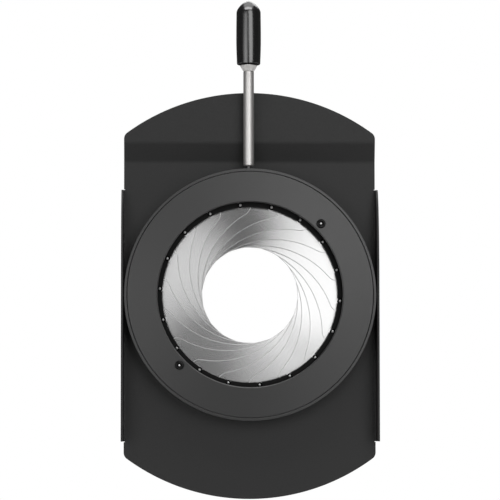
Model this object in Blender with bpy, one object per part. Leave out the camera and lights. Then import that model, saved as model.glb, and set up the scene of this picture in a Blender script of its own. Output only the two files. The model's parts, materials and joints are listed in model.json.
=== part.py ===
"""Iris diaphragm of a stage spotlight, as a drop-in plate with a handle.

A folded sheet plate carries a round housing. Inside it eighteen thin leaves turn on pivot pins that
stand in a fixed ring. A second pin on each leaf runs in a slot of the cam ring. The handle turns the
cam ring, and all the leaves swing together to open or close the hole.

The lens axis is world Y and the front faces -Y. Every piece is drawn in a frame of its own in which
x runs to the right, y up and z out of the front, measured from the front face of the plate. Lengths
are metres, and angles run counterclockwise as seen from the front.
"""
import math

import bmesh
import bpy

# Main sizes: the plate over its side flanges, the plate from top to bottom, and how far the leaves swing
PLATE_WIDTH = 0.1162
PLATE_HEIGHT = 0.1839
REST_SWING = math.radians(24.0)
LARGEST_SWING = math.radians(38.9)

# Leaves and their pins
LEAF_COUNT = 18
LEAF_HALF_WIDTH = 0.0048
LEAF_ARC = math.radians(143)
LEAF_THICKNESS = 0.00012
LEAF_PITCH = 0.00018
LEAF_STEPS = 21
PIN_RADIUS = 0.0006
PIN_SIDES = 8
CAM_PIN_PHASE = math.radians(16.1)
MATCHED_SWING = math.radians(12.5)

# Plate
SHEET_THICKNESS = 0.0010
PLATE_END_RADIUS = 0.0940
PLATE_CORNER_RADIUS = 0.0035
JOGGLE_MARGIN = 0.0039
JOGGLE_WIDTH = 0.0087
JOGGLE_DEPTH = 0.0025
FLANGE_TOP_MARGIN = 0.0231
FLANGE_BOTTOM_MARGIN = 0.0050
FLANGE_HEIGHT = 0.0120
FLANGE_END_HEIGHT = 0.0016
FLANGE_CURVE_LENGTH = 0.0409
FLANGE_BEND_RADIUS = 0.0006
RELIEF_WIDTH = 0.0013
RELIEF_DEPTH = 0.0022

# Rings
LEDGE_WIDTH = 0.0016
COVER_LIP = 0.0016
RIM_WIDTH = 0.0012
HOUSING_EDGE = 0.00035
PIVOT_RING_THICKNESS = 0.0011
CAM_RING_THICKNESS = 0.0012
CAM_RING_OVERHANG = 0.0006
COVER_THICKNESS = 0.0012
COVER_EDGE = 0.0002
COVER_STEP = 0.0020
PLATE_STEP = 0.0008
RING_STEPS = 72

# Handle
HANDLE_SIDE = -0.0006
BOSS_WIDTH = 0.0100
BOSS_LENGTH = 0.0046
BOSS_HEIGHT = 0.0028
BOSS_INSET = 0.0006
BOSS_RIVET_SPREAD = 0.0032
STUD_RADIUS = 0.0012
STUD_DEPTH = 0.0032
ROD_RADIUS = 0.00238
ROD_LENGTH = 0.04345
ROD_STANDOFF = 0.0013
ROD_CHAMFER = 0.0004
TANG_RADIUS = 0.0019
TANG_LENGTH = 0.0165
FERRULE_LENGTH = 0.0022
FERRULE_FLARE = 0.00137
GRIP_RADIUS = 0.0056
GRIP_LENGTH = 0.0292
GRIP_FOOT_EDGE = 0.0008
GRIP_FOOT_HEIGHT = 0.0011
GRIP_SWELL = 0.00012
GRIP_DOME_HEIGHT = 0.0054
GRIP_DOME_FULLNESS = 1.5

# Fasteners
SCREW_COUNT = 4
SCREW_RADIUS = 0.0008
SCREW_LENGTH = 0.0042
SCREW_HEAD_RADIUS = 0.0017
SCREW_HEAD_HEIGHT = 0.0006
SCREW_PHASE = math.radians(45)
RING_RIVET_COUNT = 4
RING_RIVET_RADIUS = 0.0007
RING_RIVET_HEAD_RADIUS = 0.0014
RING_RIVET_HEAD_HEIGHT = 0.0005
BOSS_RIVET_RADIUS = 0.0006
BOSS_RIVET_HEAD_RADIUS = 0.0011
BOSS_RIVET_HEAD_HEIGHT = 0.0004
COVER_RIVET_ANGLES = (math.radians(45), math.radians(225))
COVER_RIVET_RADIUS = 0.0015
COVER_RIVET_FLANGE = 0.00055
COVER_RIVET_WALL = 0.0003
COVER_RIVET_HEAD_HEIGHT = 0.0007
COVER_RIVET_TAIL = 0.0009
MANDREL_RADIUS = 0.00052

# Springs under the cover
SPRING_HALF_WIDTH = 0.0022
SPRING_THICKNESS = 0.00035
SPRING_ARC = math.radians(42)
SPRING_STEPS = 14

# Clearances
SEAT_GAP = 0.0002
HOLE_GAP = 0.00015
RUNNING_GAP = 0.0003
LEAF_GAP = 0.00025
TIP_GAP = 0.0016
SIDE_GAP = 0.00035

ROUND_STEPS = 16
FULL_TURN = 2 * math.pi
UPRIGHT = (-math.pi / 2, 0, 0)


def cam_pin_place(swing):
    """Where a cam pin stands when its leaf has turned this far from fully open.

    Gives its distance from the lens axis, in radii of the pivot circle, and its angle clockwise of the
    leaf's pivot pin.
    """
    across = math.cos(LEAF_ARC) - 1
    down = -math.sin(LEAF_ARC)
    x = 1 + across * math.cos(swing) + down * math.sin(swing)
    y = down * math.cos(swing) - across * math.sin(swing)
    return math.hypot(x, y), -math.atan2(y, x) % FULL_TURN


# Motion. The ring turns at a fixed ratio to the leaves, and the slots leave room for what that misses
INNERMOST_SWING = (math.pi - LEAF_ARC) / 2
RING_PER_LEAF = (cam_pin_place(INNERMOST_SWING + MATCHED_SWING)[1] - math.pi) / MATCHED_SWING
PIVOT_PHASE = CAM_PIN_PHASE + cam_pin_place(REST_SWING)[1]
RING_TO_OPEN = RING_PER_LEAF * REST_SWING
RING_TO_CLOSE = RING_PER_LEAF * (LARGEST_SWING - REST_SWING)
SLOT_PHASE = PIVOT_PHASE - math.pi - RING_PER_LEAF * (REST_SWING - INNERMOST_SWING)

# Radii, from the side flanges inwards to the hole
FLANGE_INNER = PLATE_WIDTH / 2 - SHEET_THICKNESS
HOUSING_RADIUS = FLANGE_INNER - SIDE_GAP
COVER_SEAT_RADIUS = HOUSING_RADIUS - RIM_WIDTH
COVER_RADIUS = COVER_SEAT_RADIUS - SEAT_GAP
GUIDE_RADIUS = COVER_SEAT_RADIUS - COVER_LIP
CAM_RING_RADIUS = GUIDE_RADIUS - RUNNING_GAP
LEAF_BORE = GUIDE_RADIUS - LEDGE_WIDTH
PIVOT_RING_RADIUS = LEAF_BORE - SEAT_GAP
PIN_REACH = LEAF_BORE - TIP_GAP - LEAF_HALF_WIDTH
PIVOT_CIRCLE = PIN_REACH / max(cam_pin_place(0)[0], cam_pin_place(LARGEST_SWING)[0])
LEAF_INNER = PIVOT_CIRCLE - LEAF_HALF_WIDTH
LEAF_END_ARC = math.asin(LEAF_HALF_WIDTH / PIVOT_CIRCLE)
PIVOT_RING_BORE = LEAF_INNER
PLATE_OPENING = PIVOT_RING_BORE + PLATE_STEP
CAM_RING_BORE = LEAF_INNER - CAM_RING_OVERHANG
COVER_OPENING = CAM_RING_BORE + COVER_STEP
SLOT_END = PIN_REACH + PIN_RADIUS + RUNNING_GAP
SCREW_CIRCLE = (HOUSING_RADIUS + LEAF_BORE) / 2
RING_RIVET_CIRCLE = (PIVOT_RING_RADIUS + PIVOT_CIRCLE + LEAF_HALF_WIDTH) / 2
BOSS_OUTSIDE = CAM_RING_RADIUS - BOSS_INSET
BOSS_INSIDE = BOSS_OUTSIDE - BOSS_LENGTH
COVER_RIVET_CIRCLE = (COVER_OPENING + BOSS_INSIDE) / 2
COVER_RIVET_HEAD = COVER_RIVET_RADIUS + COVER_RIVET_FLANGE
COVER_RIVET_BORE = COVER_RIVET_RADIUS - COVER_RIVET_WALL


def slot_half_width(lowest, highest):
    """Half the width that a slot needs where the cam pins run between two radii."""
    strays = [0.0]
    for step in range(101):
        swing = LARGEST_SWING * step / 100
        reach, clockwise = cam_pin_place(swing)
        radius = PIVOT_CIRCLE * reach
        if lowest <= radius <= highest:
            strays.append(abs(clockwise - math.pi - RING_PER_LEAF * (swing - INNERMOST_SWING)) * radius)
    return max(strays) + PIN_RADIUS + HOLE_GAP


def leaf_lift(along):
    """Height of a leaf above its lowest point, so that each leaf lies on the next all round."""
    spacing = FULL_TURN / LEAF_COUNT
    crowding = 4 * math.sin(spacing / 2) * math.sin(LARGEST_SWING / 2) * PIVOT_CIRCLE / LEAF_INNER
    crown = math.pi / 2 - LARGEST_SWING / 2
    root = math.sqrt(spacing ** 2 - crowding ** 2)
    ratio = math.sqrt((spacing + crowding) / (spacing - crowding))

    def height(angle):
        return 2 * LEAF_PITCH / root * math.atan(ratio * math.tan((angle - crown) / 2))

    return height(along) - height(-LEAF_END_ARC)


# Heights of the stack, from the front face of the plate
PIVOT_RING_REAR = SEAT_GAP
PIVOT_RING_FRONT = PIVOT_RING_REAR + PIVOT_RING_THICKNESS
LEAF_REAR = PIVOT_RING_FRONT + LEAF_GAP
LEAF_FRONT = LEAF_REAR + leaf_lift(LEAF_ARC + LEAF_END_ARC) + LEAF_THICKNESS
CAM_RING_REAR = LEAF_FRONT + LEAF_GAP
CAM_RING_FRONT = CAM_RING_REAR + CAM_RING_THICKNESS
BOSS_REAR = CAM_RING_FRONT + SEAT_GAP
BOSS_FRONT = BOSS_REAR + BOSS_HEIGHT
HANDLE_HEIGHT = (BOSS_REAR + BOSS_FRONT) / 2
COVER_REAR = BOSS_FRONT + SEAT_GAP + BOSS_RIVET_HEAD_HEIGHT + RUNNING_GAP
COVER_FRONT = COVER_REAR + COVER_THICKNESS

# Plate outline, round the housing
PLATE_HALF_WIDTH = FLANGE_INNER - HOLE_GAP
PLATE_HALF_HEIGHT = PLATE_HEIGHT / 2
JOGGLE_LOW = HOUSING_RADIUS + JOGGLE_MARGIN
JOGGLE_HIGH = JOGGLE_LOW + JOGGLE_WIDTH
END_CENTRE = PLATE_HALF_HEIGHT - PLATE_END_RADIUS
CORNER_X = PLATE_HALF_WIDTH - PLATE_CORNER_RADIUS
CORNER_Y = END_CENTRE + math.sqrt((PLATE_END_RADIUS - PLATE_CORNER_RADIUS) ** 2 - CORNER_X ** 2)
FLANGE_TOP = CORNER_Y - FLANGE_TOP_MARGIN
FLANGE_BOTTOM = FLANGE_BOTTOM_MARGIN - CORNER_Y
FLANGE_CURVE_START = FLANGE_TOP - FLANGE_CURVE_LENGTH

# Handle, along its own axis
ROD_START = HOUSING_RADIUS + ROD_STANDOFF
ROD_END = ROD_START + ROD_LENGTH
FERRULE_TOP_RADIUS = ROD_RADIUS + FERRULE_FLARE
GRIP_FOOT_RADIUS = FERRULE_TOP_RADIUS + GRIP_FOOT_EDGE
GRIP_TOP_RADIUS = GRIP_RADIUS - GRIP_SWELL


def clear_scene():
    for old in list(bpy.data.objects):
        bpy.data.objects.remove(old, do_unlink=True)


def make_material(name, colour, roughness, metallic):
    """Principled material; the colour is given as sRGB hex and turned to linear."""
    made = bpy.data.materials.new(name)
    made.use_nodes = True
    shader = made.node_tree.nodes["Principled BSDF"]
    channels = [int(colour[at:at + 2], 16) / 255 for at in (0, 2, 4)]
    linear = [c / 12.92 if c <= 0.04045 else ((c + 0.055) / 1.055) ** 2.4 for c in channels]
    shader.inputs["Base Color"].default_value = (*linear, 1)
    shader.inputs["Roughness"].default_value = roughness
    shader.inputs["Metallic"].default_value = metallic
    return made


def add_object(name, bm, material, parent, location=(0, 0, 0), rotation=(0, 0, 0)):
    """Turn a bmesh into a named object that hangs on its parent."""
    bmesh.ops.recalc_face_normals(bm, faces=bm.faces)
    mesh = bpy.data.meshes.new(name)
    bm.to_mesh(mesh)
    bm.free()
    mesh.materials.append(material)
    mesh.shade_smooth()
    mesh.set_sharp_from_angle(angle=math.radians(32))
    return place_mesh(name, mesh, parent, location, rotation)


def place_mesh(name, mesh, parent, location=(0, 0, 0), rotation=(0, 0, 0)):
    made = bpy.data.objects.new(name, mesh)
    made.location = location
    made.rotation_euler = rotation
    made.parent = parent
    bpy.context.scene.collection.objects.link(made)
    return made


def add_boolean(target, tool, operation):
    tool.hide_render = True
    tool.display_type = "WIRE"
    change = target.modifiers.new(tool.name, "BOOLEAN")
    change.operation = operation
    change.solver = "EXACT"
    change.object = tool


def polar(radius, angle):
    return radius * math.cos(angle), radius * math.sin(angle)


def arc(centre, radius, start, end, steps):
    """Points along an arc, both ends included."""
    angles = [start + (end - start) * step / steps for step in range(steps + 1)]
    return [(centre[0] + radius * math.cos(a), centre[1] + radius * math.sin(a)) for a in angles]


def circle(centre, radius, steps, phase=0.0):
    return arc(centre, radius, phase, phase + FULL_TURN, steps)[:-1]


def circles_round(ring, radius, count, phase, steps):
    """The same small circle, repeated round the lens axis."""
    angles = [phase + FULL_TURN * index / count for index in range(count)]
    return [circle(polar(ring, angle), radius, steps) for angle in angles]


def loop_edges(bm, points, height):
    verts = [bm.verts.new((x, y, height)) for x, y in points]
    return [bm.edges.new((verts[at - 1], verts[at])) for at in range(len(verts))]


def thicken(bm, thickness):
    """Extrude a flat sheet forwards into a closed solid."""
    grown = bmesh.ops.extrude_face_region(bm, geom=bm.faces[:])
    moved = [item for item in grown["geom"] if isinstance(item, bmesh.types.BMVert)]
    bmesh.ops.translate(bm, verts=moved, vec=(0, 0, thickness))


def extruded(outline, holes, rear, front):
    """Flat piece with holes, cut from sheet between two heights."""
    bm = bmesh.new()
    edges = []
    for loop in [outline, *holes]:
        edges += loop_edges(bm, loop, rear)
    bmesh.ops.triangle_fill(bm, use_beauty=True, use_dissolve=False, edges=edges, normal=(0, 0, 1))
    thicken(bm, front - rear)
    return bm


def turned(profile, steps, centre=(0, 0), into=None):
    """Revolve a profile of (radius, height) points round an axis along z.

    A profile that starts and ends on the axis gives a solid bar, and any other is closed to a ring.
    """
    bm = into or bmesh.new()
    verts = [bm.verts.new((centre[0] + radius, centre[1], height)) for radius, height in profile]
    edges = [bm.edges.new(pair) for pair in zip(verts, verts[1:])]
    if profile[0][0] > 0:
        edges.append(bm.edges.new((verts[-1], verts[0])))
    bmesh.ops.spin(bm, geom=verts + edges, cent=(*centre, 0), axis=(0, 0, 1), angle=FULL_TURN,
                   steps=steps, use_merge=True, use_duplicate=False)
    bmesh.ops.remove_doubles(bm, verts=bm.verts[:], dist=1e-7)
    return bm


def add_bands(bm, rows):
    """Join rows of vertices, one after the other, with quads."""
    for first, second in zip(rows, rows[1:]):
        for at in range(len(first) - 1):
            bm.faces.new((first[at], first[at + 1], second[at + 1], second[at]))


def curved_strip(radius, half_width, length, steps, thickness, mark_radius, marks):
    """Flat strip bent to an arc clockwise from the +x axis, with round ends.

    Each mark gives an end's angle and whether the circle drawn there stays open as a hole.
    """
    bm = bmesh.new()
    root = 0.75 * half_width / radius
    rows = []
    for step in range(steps + 1):
        angle = -root - (length - 2 * root) * step / steps
        rows.append([bm.verts.new((*polar(radius + side * half_width, angle), 0)) for side in (-1, 1)])
    add_bands(bm, rows)
    for row, end, outwards in ((rows[0], 0.0, 1), (rows[-1], -length, -1)):
        centre = polar(radius, end)
        start = end + math.pi
        bend = arc(centre, half_width, start, start - outwards * math.pi, PIN_SIDES)
        verts = [row[0], *[bm.verts.new((x, y, 0)) for x, y in bend], row[1]]
        edges = [bm.edges.new(pair) for pair in zip(verts, verts[1:])]
        edges.append(bm.edges.get(row))
        if end in marks:
            loop = loop_edges(bm, circle(centre, mark_radius, PIN_SIDES, end), 0)
            edges += loop
        bmesh.ops.triangle_fill(bm, use_beauty=True, use_dissolve=False, edges=edges, normal=(0, 0, 1))
        if end in marks and marks[end] == "disc":
            bm.faces.new([edge.verts[1] for edge in loop])
    thicken(bm, thickness)
    return bm


def raise_along(bm, height):
    """Lift each vertex by a height that depends on how far clockwise it lies."""
    for vert in bm.verts:
        clockwise = -math.atan2(vert.co.y, vert.co.x)
        if clockwise < -math.pi / 2:
            clockwise += FULL_TURN
        vert.co.z += height(clockwise)


def plate_outline():
    """Outline of the plate, drawn down its right side and mirrored to the left."""
    lean = math.atan2(CORNER_Y - END_CENTRE, CORNER_X)
    top = arc((0, END_CENTRE), PLATE_END_RADIUS, math.pi / 2, lean, 12)
    corner = arc((CORNER_X, CORNER_Y), PLATE_CORNER_RADIUS, lean, 0, 5)
    relief_in = PLATE_HALF_WIDTH - RELIEF_DEPTH
    notches = []
    for near, far in ((FLANGE_TOP + RELIEF_WIDTH, FLANGE_TOP), (FLANGE_BOTTOM, FLANGE_BOTTOM - RELIEF_WIDTH)):
        notches += [(relief_in, near), (relief_in, far)]
    root = FLANGE_INNER - FLANGE_BEND_RADIUS
    side = [(PLATE_HALF_WIDTH, notches[0][1]), notches[0], notches[1], (root, notches[1][1]),
            (root, notches[2][1]), notches[2], notches[3], (PLATE_HALF_WIDTH, notches[3][1])]
    lower = [(x, -y) for x, y in reversed(top[1:] + corner[1:])]
    right = top + corner[1:] + side + lower
    bottom = [(0, -PLATE_HALF_HEIGHT)]
    left = [(-x, y) for x, y in reversed(right[1:])]
    return right + bottom + left


def flange_height(y):
    """Free edge of a side flange: level below, and falling in a quarter ellipse to its top end."""
    if y <= FLANGE_CURVE_START:
        return FLANGE_HEIGHT
    along = (y - FLANGE_CURVE_START) / (FLANGE_TOP - FLANGE_CURVE_START)
    return FLANGE_END_HEIGHT + (FLANGE_HEIGHT - FLANGE_END_HEIGHT) * math.sqrt(max(0.0, 1 - along ** 2))


def side_flange(side):
    """Folded edge of the plate, lofted along y from its bend to its free edge."""
    bm = bmesh.new()
    bend = (FLANGE_INNER - FLANGE_BEND_RADIUS, FLANGE_BEND_RADIUS)
    root = PLATE_HALF_WIDTH - RELIEF_DEPTH
    falling = [math.sin(math.pi / 2 * step / 10) for step in range(11)]
    stations = [FLANGE_BOTTOM] + [FLANGE_CURVE_START + (FLANGE_TOP - FLANGE_CURVE_START) * f for f in falling]
    rows = []
    for y in stations:
        inside = arc(bend, FLANGE_BEND_RADIUS, -math.pi / 2, 0, 3)
        outside = arc(bend, FLANGE_BEND_RADIUS + SHEET_THICKNESS, 0, -math.pi / 2, 4)
        free = flange_height(y)
        section = [(root, 0), *inside, (inside[-1][0], free), (outside[0][0], free), *outside,
                   (root, -SHEET_THICKNESS)]
        rows.append([bm.verts.new((side * x, y, z)) for x, z in section])
    for row in rows:
        row.append(row[0])
    add_bands(bm, rows)
    for row in (rows[0], rows[-1]):
        bm.faces.new(row[:-1])
    return bm


def build_plate(parent, steel):
    holes = [circle((0, 0), PLATE_OPENING, RING_STEPS)]
    holes += circles_round(SCREW_CIRCLE, SCREW_RADIUS + HOLE_GAP, SCREW_COUNT, SCREW_PHASE, PIN_SIDES)
    holes += circles_round(RING_RIVET_CIRCLE, RING_RIVET_RADIUS + HOLE_GAP, RING_RIVET_COUNT, 0, PIN_SIDES)
    bm = extruded(plate_outline(), holes, -SHEET_THICKNESS, 0)
    for line in (JOGGLE_LOW, JOGGLE_HIGH):
        every = bm.verts[:] + bm.edges[:] + bm.faces[:]
        bmesh.ops.bisect_plane(bm, geom=every, dist=1e-7, plane_co=(0, line, 0), plane_no=(0, 1, 0))
    for vert in bm.verts:
        along = (vert.co.y - JOGGLE_LOW) / (JOGGLE_HIGH - JOGGLE_LOW)
        vert.co.z += JOGGLE_DEPTH * min(1, max(0, along))
    plate = add_object("mounting_plate", bm, steel, parent)
    for side, name in ((1, "right"), (-1, "left")):
        flange = add_object(f"tool_{name}_flange", side_flange(side), steel, parent)
        add_boolean(plate, flange, "UNION")


def build_pivot_ring(parent, metal):
    holes = [circle((0, 0), PIVOT_RING_BORE, RING_STEPS)]
    holes += circles_round(PIVOT_CIRCLE, PIN_RADIUS + HOLE_GAP, LEAF_COUNT, PIVOT_PHASE, PIN_SIDES)
    holes += circles_round(RING_RIVET_CIRCLE, RING_RIVET_RADIUS + HOLE_GAP, RING_RIVET_COUNT, 0, PIN_SIDES)
    bm = extruded(circle((0, 0), PIVOT_RING_RADIUS, RING_STEPS), holes, PIVOT_RING_REAR, PIVOT_RING_FRONT)
    add_object("pivot_ring", bm, metal, parent)


def handle_window():
    """Sector of the housing wall that the handle's stud sweeps, from fully closed to fully open."""
    half = math.asin((STUD_RADIUS + RUNNING_GAP + abs(HANDLE_SIDE)) / GUIDE_RADIUS)
    start = math.pi / 2 - RING_TO_CLOSE - half
    end = math.pi / 2 + RING_TO_OPEN + half
    middle_of_ledge = GUIDE_RADIUS - LEDGE_WIDTH / 2
    outline = arc((0, 0), middle_of_ledge, start, end, ROUND_STEPS)
    outline += arc((0, 0), HOUSING_RADIUS + COVER_LIP, end, start, ROUND_STEPS)
    reach = STUD_RADIUS + HOLE_GAP
    return extruded(outline, [], HANDLE_HEIGHT - reach, HANDLE_HEIGHT + reach)


def build_housing(parent, metal):
    ledge = CAM_RING_REAR - SEAT_GAP
    lip = COVER_REAR - SEAT_GAP
    edge = HOUSING_EDGE
    profile = [
        (LEAF_BORE, SEAT_GAP), (HOUSING_RADIUS, SEAT_GAP),
        (HOUSING_RADIUS, COVER_FRONT - edge), (HOUSING_RADIUS - edge, COVER_FRONT),
        (COVER_SEAT_RADIUS, COVER_FRONT), (COVER_SEAT_RADIUS, lip),
        (GUIDE_RADIUS, lip), (GUIDE_RADIUS, ledge), (LEAF_BORE, ledge),
    ]
    housing = add_object("housing_ring", turned(profile, RING_STEPS), metal, parent)
    window = add_object("tool_handle_window", handle_window(), metal, parent)
    add_boolean(housing, window, "DIFFERENCE")
    bm = bmesh.new()
    for index in range(SCREW_COUNT):
        centre = polar(SCREW_CIRCLE, SCREW_PHASE + FULL_TURN * index / SCREW_COUNT)
        radius = SCREW_RADIUS + HOLE_GAP
        depth = SCREW_LENGTH - SHEET_THICKNESS + SEAT_GAP
        turned([(0, -SEAT_GAP), (radius, -SEAT_GAP), (radius, depth), (0, depth)], PIN_SIDES, centre, bm)
    add_boolean(housing, add_object("tool_screw_holes", bm, metal, parent), "DIFFERENCE")


def build_cover(parent, metal):
    """Flat front ring with eased edges and a hole for each rivet."""
    edge = COVER_EDGE
    profile = [
        (COVER_OPENING, COVER_REAR), (COVER_RADIUS, COVER_REAR),
        (COVER_RADIUS, COVER_FRONT - edge), (COVER_RADIUS - edge, COVER_FRONT),
        (COVER_OPENING + edge, COVER_FRONT), (COVER_OPENING, COVER_FRONT - edge),
    ]
    cover = add_object("front_cover", turned(profile, RING_STEPS), metal, parent)
    bm = bmesh.new()
    for angle in COVER_RIVET_ANGLES:
        centre = polar(COVER_RIVET_CIRCLE, angle)
        radius = COVER_RIVET_RADIUS + HOLE_GAP
        ends = (COVER_REAR - SEAT_GAP, COVER_FRONT + SEAT_GAP)
        turned([(0, ends[0]), (radius, ends[0]), (radius, ends[1]), (0, ends[1])], ROUND_STEPS, centre, bm)
    add_boolean(cover, add_object("tool_cover_holes", bm, metal, parent), "DIFFERENCE")


def repeat_object(name, bm, material, parent, places):
    """The same piece at several places, as numbered objects that share one mesh."""
    shared = None
    for number, (x, y) in enumerate(places, 1):
        if shared:
            place_mesh(f"{name}_{number}", shared, parent, (x, y, 0))
        else:
            shared = add_object(f"{name}_{number}", bm, material, parent, (x, y, 0)).data


def build_cover_rivets(parent, metal, bright):
    """Hollow rivets that hold the springs to the cover, each with the end of its pulling pin inside."""
    shank_end = COVER_REAR - SEAT_GAP - SPRING_THICKNESS - SEAT_GAP
    head_rear = COVER_FRONT + SEAT_GAP
    head_front = head_rear + COVER_RIVET_HEAD_HEIGHT
    rim = COVER_RIVET_HEAD
    bore = COVER_RIVET_BORE
    places = [polar(COVER_RIVET_CIRCLE, angle) for angle in COVER_RIVET_ANGLES]
    rivet = turned([
        (0, shank_end - COVER_RIVET_TAIL), (rim, shank_end - COVER_RIVET_TAIL / 2), (rim, shank_end),
        (COVER_RIVET_RADIUS, shank_end), (COVER_RIVET_RADIUS, head_rear), (rim, head_rear),
        (rim * 0.96, head_rear + COVER_RIVET_HEAD_HEIGHT / 2), (bore * 1.15, head_front),
        (bore, head_front - SEAT_GAP), (bore, COVER_REAR), (0, COVER_REAR),
    ], ROUND_STEPS)
    repeat_object("cover_rivet", rivet, metal, parent, places)
    foot = COVER_REAR + SEAT_GAP
    top = head_front - SEAT_GAP
    pin = turned([(0, foot), (MANDREL_RADIUS, foot), (MANDREL_RADIUS, top - SEAT_GAP), (0, top)], PIN_SIDES)
    repeat_object("rivet_pin", pin, bright, parent, places)


def build_springs(parent, steel):
    """Two bent strips that press on the cam ring, so that the handle stays where it is put."""
    fixed = COVER_REAR - SEAT_GAP - SPRING_THICKNESS
    pad = CAM_RING_FRONT + SEAT_GAP
    bend_start = 1.5 * SPRING_HALF_WIDTH / COVER_RIVET_CIRCLE
    bend_end = SPRING_ARC / 2

    def height(clockwise):
        along = min(1, max(0, (clockwise - bend_start) / (bend_end - bend_start)))
        return fixed + (pad - fixed) * along ** 2 * (3 - 2 * along)

    for number, angle in enumerate(COVER_RIVET_ANGLES, 1):
        bm = curved_strip(COVER_RIVET_CIRCLE, SPRING_HALF_WIDTH, SPRING_ARC, SPRING_STEPS,
                          SPRING_THICKNESS, COVER_RIVET_RADIUS + HOLE_GAP, {0.0: "hole"})
        raise_along(bm, height)
        add_object(f"drag_spring_{number}", bm, steel, parent, rotation=(0, 0, angle))


def places_round(ring, count, phase):
    return [polar(ring, phase + FULL_TURN * index / count) for index in range(count)]


def build_rear_fasteners(parent, steel):
    """Screws into the housing wall and rivets through the pivot ring, with heads behind the plate."""
    rear = -SHEET_THICKNESS
    head = rear - SEAT_GAP
    tip = rear + SCREW_LENGTH
    screw = turned([(0, head - SCREW_HEAD_HEIGHT), (SCREW_HEAD_RADIUS * 0.8, head - SCREW_HEAD_HEIGHT),
                    (SCREW_HEAD_RADIUS, head - SCREW_HEAD_HEIGHT / 2), (SCREW_HEAD_RADIUS, head),
                    (SCREW_RADIUS, head), (SCREW_RADIUS, tip), (0, tip)], PIN_SIDES)
    repeat_object("housing_screw", screw, steel, parent, places_round(SCREW_CIRCLE, SCREW_COUNT, SCREW_PHASE))
    rivet = turned([(0, head - RING_RIVET_HEAD_HEIGHT),
                    (RING_RIVET_HEAD_RADIUS, head - RING_RIVET_HEAD_HEIGHT / 2),
                    (RING_RIVET_HEAD_RADIUS, head), (RING_RIVET_RADIUS, head),
                    (RING_RIVET_RADIUS, PIVOT_RING_FRONT), (0, PIVOT_RING_FRONT)], PIN_SIDES)
    repeat_object("pivot_ring_rivet", rivet, steel, parent,
                  places_round(RING_RIVET_CIRCLE, RING_RIVET_COUNT, 0))


def cam_ring_bore():
    """Inner edge of the cam ring: an arc between each two slots, which are open at this edge.

    A slot is narrow at its mouth and widens outwards, where the pins stray from its middle.
    """
    spacing = FULL_TURN / LEAF_COUNT
    narrow = slot_half_width(0, COVER_OPENING)
    wide = slot_half_width(0, PIN_REACH)
    mouth = math.asin(narrow / CAM_RING_BORE)
    side = [(math.sqrt(CAM_RING_BORE ** 2 - narrow ** 2), narrow), (COVER_OPENING, narrow),
            (PIN_REACH, wide), (SLOT_END, wide - PIN_RADIUS)]
    section = [(x, -y) for x, y in side] + side[::-1]
    points = []
    for index in range(LEAF_COUNT):
        slot = SLOT_PHASE + spacing * index
        turn = math.cos(slot), math.sin(slot)
        points += [(x * turn[0] - y * turn[1], x * turn[1] + y * turn[0]) for x, y in section]
        points += arc((0, 0), CAM_RING_BORE, slot + mouth, slot + spacing - mouth, 3)[1:-1]
    return points


def boss_rivet_places():
    middle = (BOSS_INSIDE + BOSS_OUTSIDE) / 2
    return [(HANDLE_SIDE + side * BOSS_RIVET_SPREAD, middle) for side in (-1, 1)]


def build_cam_ring(parent, metal):
    holes = [cam_ring_bore()]
    holes += [circle(place, BOSS_RIVET_RADIUS + HOLE_GAP, PIN_SIDES) for place in boss_rivet_places()]
    bm = extruded(circle((0, 0), CAM_RING_RADIUS, RING_STEPS), holes, CAM_RING_REAR, CAM_RING_FRONT)
    add_object("cam_ring", bm, metal, parent)


def build_boss(parent, metal):
    """Block on the cam ring that the handle's stud screws into, with a curved outer face."""
    half = BOSS_WIDTH / 2
    lean = math.asin((half + abs(HANDLE_SIDE)) / BOSS_OUTSIDE)
    outside = arc((0, 0), BOSS_OUTSIDE, math.pi / 2 - lean, math.pi / 2 + lean, 6)
    outline = [(outside[-1][0], BOSS_INSIDE), (outside[0][0], BOSS_INSIDE), *outside]
    holes = [circle(place, BOSS_RIVET_RADIUS + HOLE_GAP, PIN_SIDES) for place in boss_rivet_places()]
    boss = add_object("handle_boss", extruded(outline, holes, BOSS_REAR, BOSS_FRONT), metal, parent)
    depth = BOSS_OUTSIDE - STUD_DEPTH - SEAT_GAP
    radius = STUD_RADIUS + HOLE_GAP
    bm = turned([(0, depth), (radius, depth), (radius, ROD_START), (0, ROD_START)], ROUND_STEPS)
    tool = add_object("tool_stud_hole", bm, metal, parent, (HANDLE_SIDE, 0, HANDLE_HEIGHT), UPRIGHT)
    add_boolean(boss, tool, "DIFFERENCE")
    head = BOSS_FRONT + SEAT_GAP
    rivet = turned([(0, CAM_RING_REAR), (BOSS_RIVET_RADIUS, CAM_RING_REAR), (BOSS_RIVET_RADIUS, head),
                    (BOSS_RIVET_HEAD_RADIUS, head), (BOSS_RIVET_RADIUS, head + BOSS_RIVET_HEAD_HEIGHT),
                    (0, head + BOSS_RIVET_HEAD_HEIGHT)], PIN_SIDES)
    repeat_object("boss_rivet", rivet, metal, parent, boss_rivet_places())


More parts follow.
